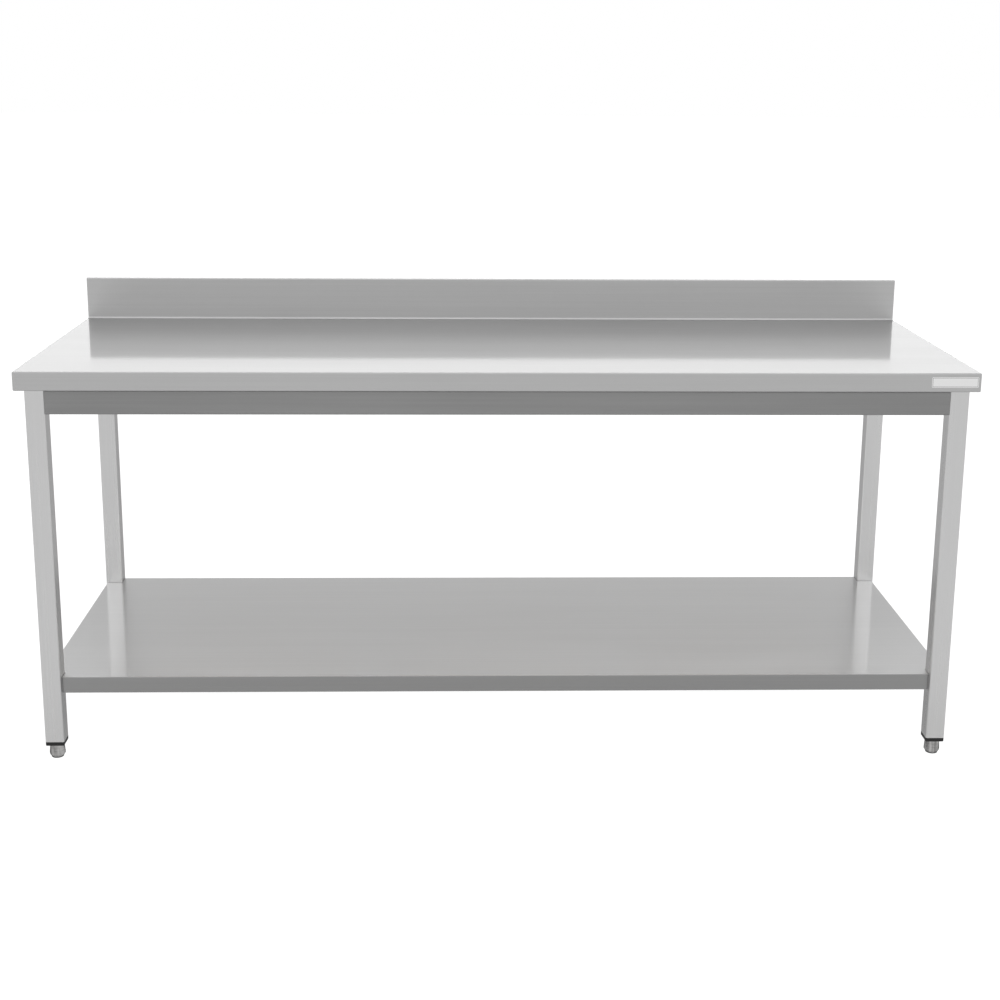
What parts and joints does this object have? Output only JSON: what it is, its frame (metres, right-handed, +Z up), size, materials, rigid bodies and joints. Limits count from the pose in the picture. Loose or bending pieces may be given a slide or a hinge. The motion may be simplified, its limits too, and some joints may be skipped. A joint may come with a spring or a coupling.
{
  "type": "stainless steel work table",
  "caption": "Long stainless steel kitchen work table with a folded-edge worktop, a rear upstand, square legs on levelling feet and a lower shelf.",
  "frame": {"origin": "on the floor, under the centre of the worktop's plan", "axes": "+X along the table to the right as seen from the front, +Y to the wall side, +Z up"},
  "size_m": [2, 0.7004, 0.955],
  "materials": {
    "worktop_steel": "stainless sheet, fine brushed grain along the table",
    "shelf_steel": "stainless sheet, fine brushed grain along the shelf",
    "rail_steel": "stainless sheet, brushed along each rail",
    "leg_steel": "stainless square tube, brushed along its length",
    "stiffener_steel": "galvanised sheet with a soft spangle",
    "board": "water-resistant chipboard, sealed",
    "label": "blank white label",
    "fastener_steel": "bright zinc plating",
    "insert_plastic": "black glass-filled polyamide",
    "foot_metal": "turned stainless steel with spanner flats",
    "pad_plastic": "dark grey nylon"
  },
  "bodies": {
    "table_frame": {"worktop_skin": "worktop_steel", "upstand_end_caps": "worktop_steel", "shelf_tray": "shelf_steel", "front_rail": "rail_steel", "rear_rail": "rail_steel", "left_rail": "rail_steel", "right_rail": "rail_steel", "worktop_board": "board", "label_plate": "label", "rail_screws": "fastener_steel", "shelf_screws": "fastener_steel", "worktop_screws": "fastener_steel", "rivet_nuts": "fastener_steel", "worktop_stiffener_1": "stiffener_steel", "worktop_stiffener_2": "stiffener_steel", "worktop_stiffener_3": "stiffener_steel", "worktop_stiffener_4": "stiffener_steel", "shelf_stiffener_1": "stiffener_steel", "shelf_stiffener_2": "stiffener_steel", "leg_front_left": "leg_steel", "leg_insert_front_left": "insert_plastic", "foot_nut_front_left": "fastener_steel", "leg_front_right": "leg_steel", "leg_insert_front_right": "insert_plastic", "foot_nut_front_right": "fastener_steel", "leg_rear_left": "leg_steel", "leg_insert_rear_left": "insert_plastic", "foot_nut_rear_left": "fastener_steel", "leg_rear_right": "leg_steel", "leg_insert_rear_right": "insert_plastic", "foot_nut_rear_right": "fastener_steel"},
    "pad_front_left": {"foot_pad_front_left": "pad_plastic"},
    "foot_front_left": {"foot_body_front_left": "foot_metal", "foot_stud_front_left": "fastener_steel"},
    "pad_front_right": {"foot_pad_front_right": "pad_plastic"},
    "foot_front_right": {"foot_body_front_right": "foot_metal", "foot_stud_front_right": "fastener_steel"},
    "pad_rear_left": {"foot_pad_rear_left": "pad_plastic"},
    "foot_rear_left": {"foot_body_rear_left": "foot_metal", "foot_stud_rear_left": "fastener_steel"},
    "pad_rear_right": {"foot_pad_rear_right": "pad_plastic"},
    "foot_rear_right": {"foot_body_rear_right": "foot_metal", "foot_stud_rear_right": "fastener_steel"}
  },
  "joints": [
    {"name": "foot_front_left_height", "type": "slide", "parent": "table_frame", "child": "pad_front_left", "axis": [0, 0, -1], "range_m": [0, 0.02]},
    {"name": "foot_front_left_turn", "type": "hinge", "parent": "pad_front_left", "child": "foot_front_left", "pos_m": [-0.958, -0.327, 0.02], "axis": [0, 0, -1], "range_deg": [0, 4800.5]},
    {"name": "foot_front_right_height", "type": "slide", "parent": "table_frame", "child": "pad_front_right", "axis": [0, 0, -1], "range_m": [0, 0.02]},
    {"name": "foot_front_right_turn", "type": "hinge", "parent": "pad_front_right", "child": "foot_front_right", "pos_m": [0.958, -0.327, 0.02], "axis": [0, 0, -1], "range_deg": [0, 4800.5]},
    {"name": "foot_rear_left_height", "type": "slide", "parent": "table_frame", "child": "pad_rear_left", "axis": [0, 0, -1], "range_m": [0, 0.02]},
    {"name": "foot_rear_left_turn", "type": "hinge", "parent": "pad_rear_left", "child": "foot_rear_left", "pos_m": [-0.958, 0.315, 0.02], "axis": [0, 0, -1], "range_deg": [0, 4800.5]},
    {"name": "foot_rear_right_height", "type": "slide", "parent": "table_frame", "child": "pad_rear_right", "axis": [0, 0, -1], "range_m": [0, 0.02]},
    {"name": "foot_rear_right_turn", "type": "hinge", "parent": "pad_rear_right", "child": "foot_rear_right", "pos_m": [0.958, 0.315, 0.02], "axis": [0, 0, -1], "range_deg": [0, 4800.5]}
  ],
  "couplings": [
    {"joint": "foot_front_left_turn", "follows": "foot_front_left_height", "rad_per_m": 4188.8},
    {"joint": "foot_front_right_turn", "follows": "foot_front_right_height", "rad_per_m": 4188.8},
    {"joint": "foot_rear_left_turn", "follows": "foot_rear_left_height", "rad_per_m": 4188.8},
    {"joint": "foot_rear_right_turn", "follows": "foot_rear_right_height", "rad_per_m": 4188.8}
  ]
}
